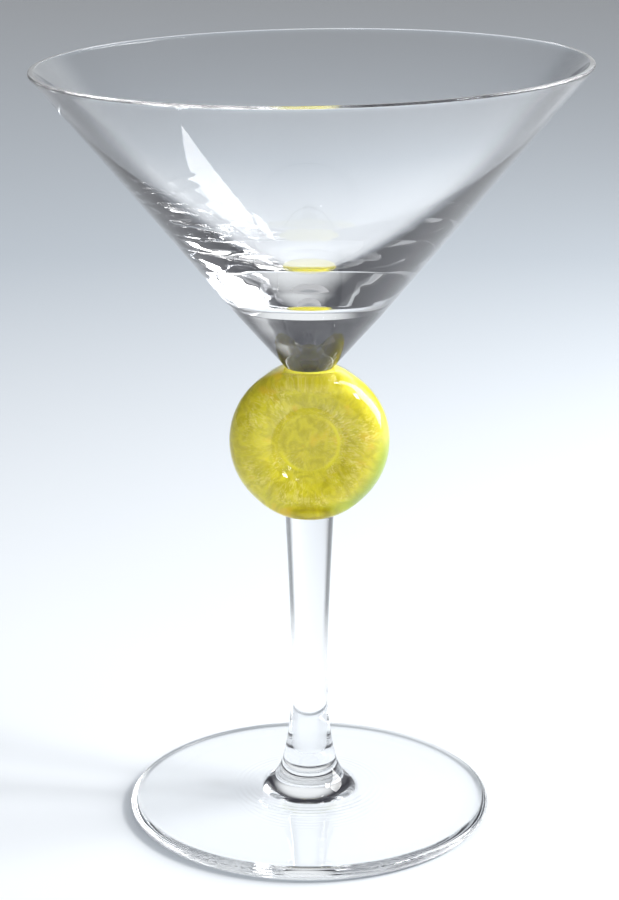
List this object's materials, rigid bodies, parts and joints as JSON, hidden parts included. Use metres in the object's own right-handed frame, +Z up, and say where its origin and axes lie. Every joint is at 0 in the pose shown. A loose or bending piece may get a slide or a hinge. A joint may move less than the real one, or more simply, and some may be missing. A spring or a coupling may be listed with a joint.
{
  "type": "cocktail glass",
  "caption": "Stemmed cocktail glass: a clear straight-sided conical bowl on a yellow glass disc set on edge, with a waisted clear stem and a round clear foot.",
  "frame": {"origin": "centre of the foot's underside, on the plane that the glass stands on", "axes": "+Z up along the stem; the disc's flat sides face -Y and +Y, and -Y is the side in the picture"},
  "size_m": [0.1212, 0.1212, 0.173],
  "materials": {
    "clear_glass": "fire-polished",
    "yellow_glass": "mottled, under clear glass"
  },
  "bodies": {
    "root": {"bowl": "clear_glass", "disc_casing": "clear_glass", "disc_core": "yellow_glass", "stem": "clear_glass", "foot": "clear_glass"}
  },
  "joints": []
}
